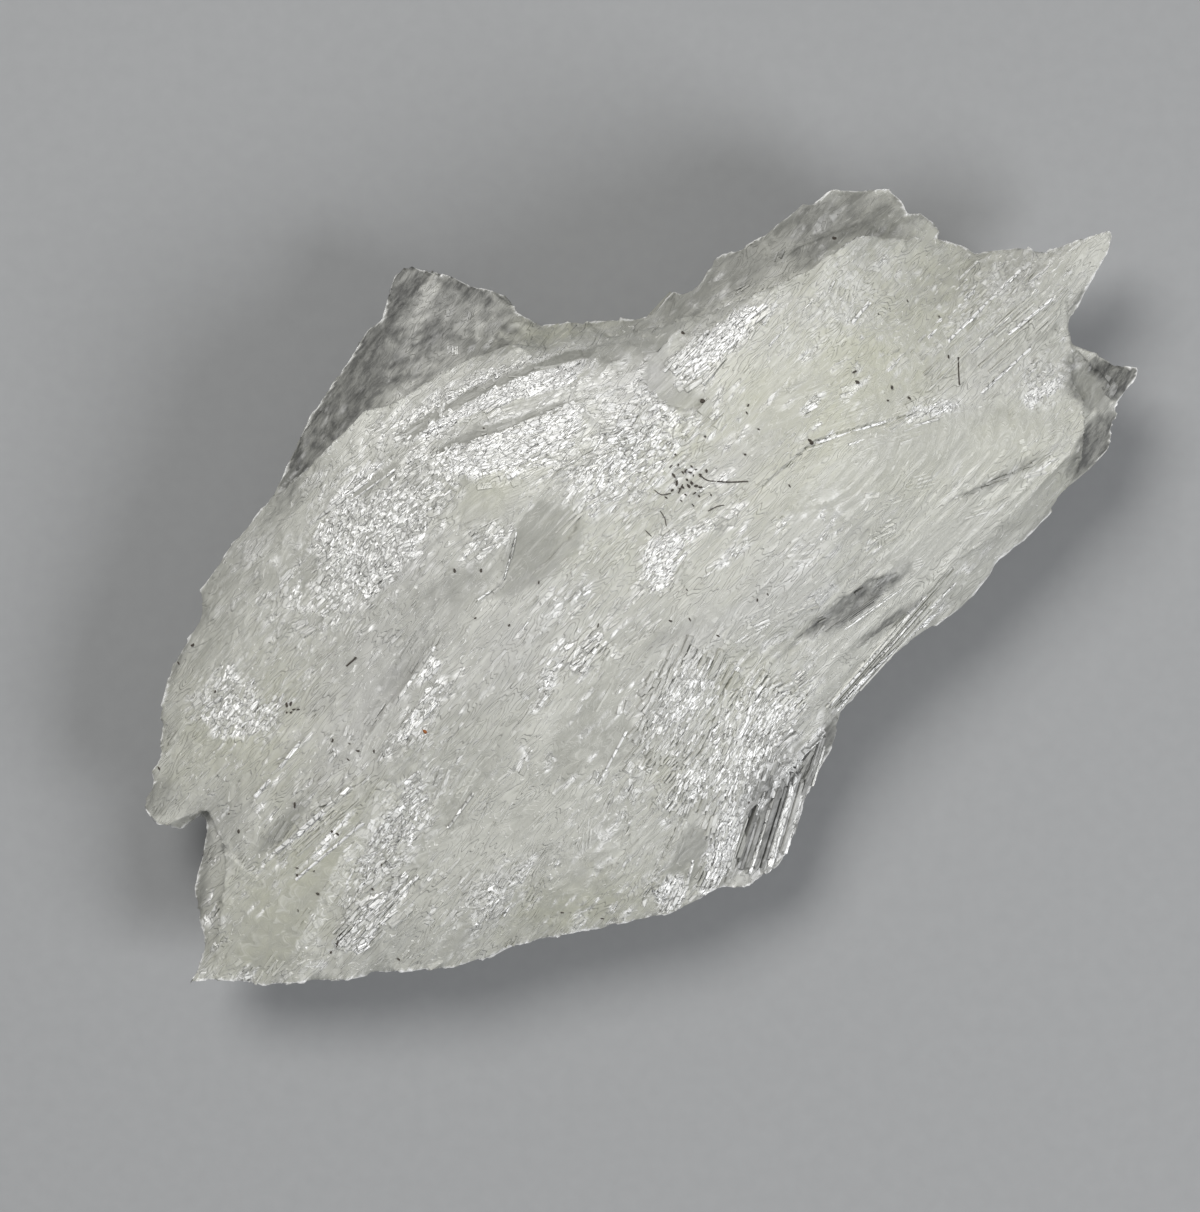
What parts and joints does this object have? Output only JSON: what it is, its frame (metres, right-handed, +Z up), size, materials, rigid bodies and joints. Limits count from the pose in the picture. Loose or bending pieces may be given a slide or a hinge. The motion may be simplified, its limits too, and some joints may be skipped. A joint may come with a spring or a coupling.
{
  "type": "probertite specimen",
  "caption": "Hand specimen of probertite: a silvery white, compact mass of intergrown bladed crystals with a broad cleaved face, lying on its back.",
  "frame": {"origin": "under the middle of the outline, on the surface that the specimen lies on", "axes": "+Z up, out of the broad cleaved front face; +X along the specimen's length as seen from above, towards its spiked end; +Y towards the crested long side"},
  "size_m": [0.0696, 0.0556, 0.0199],
  "materials": {
    "probertite": "satin, glassy in places"
  },
  "bodies": {
    "root": {"probertite": "probertite"}
  },
  "joints": []
}
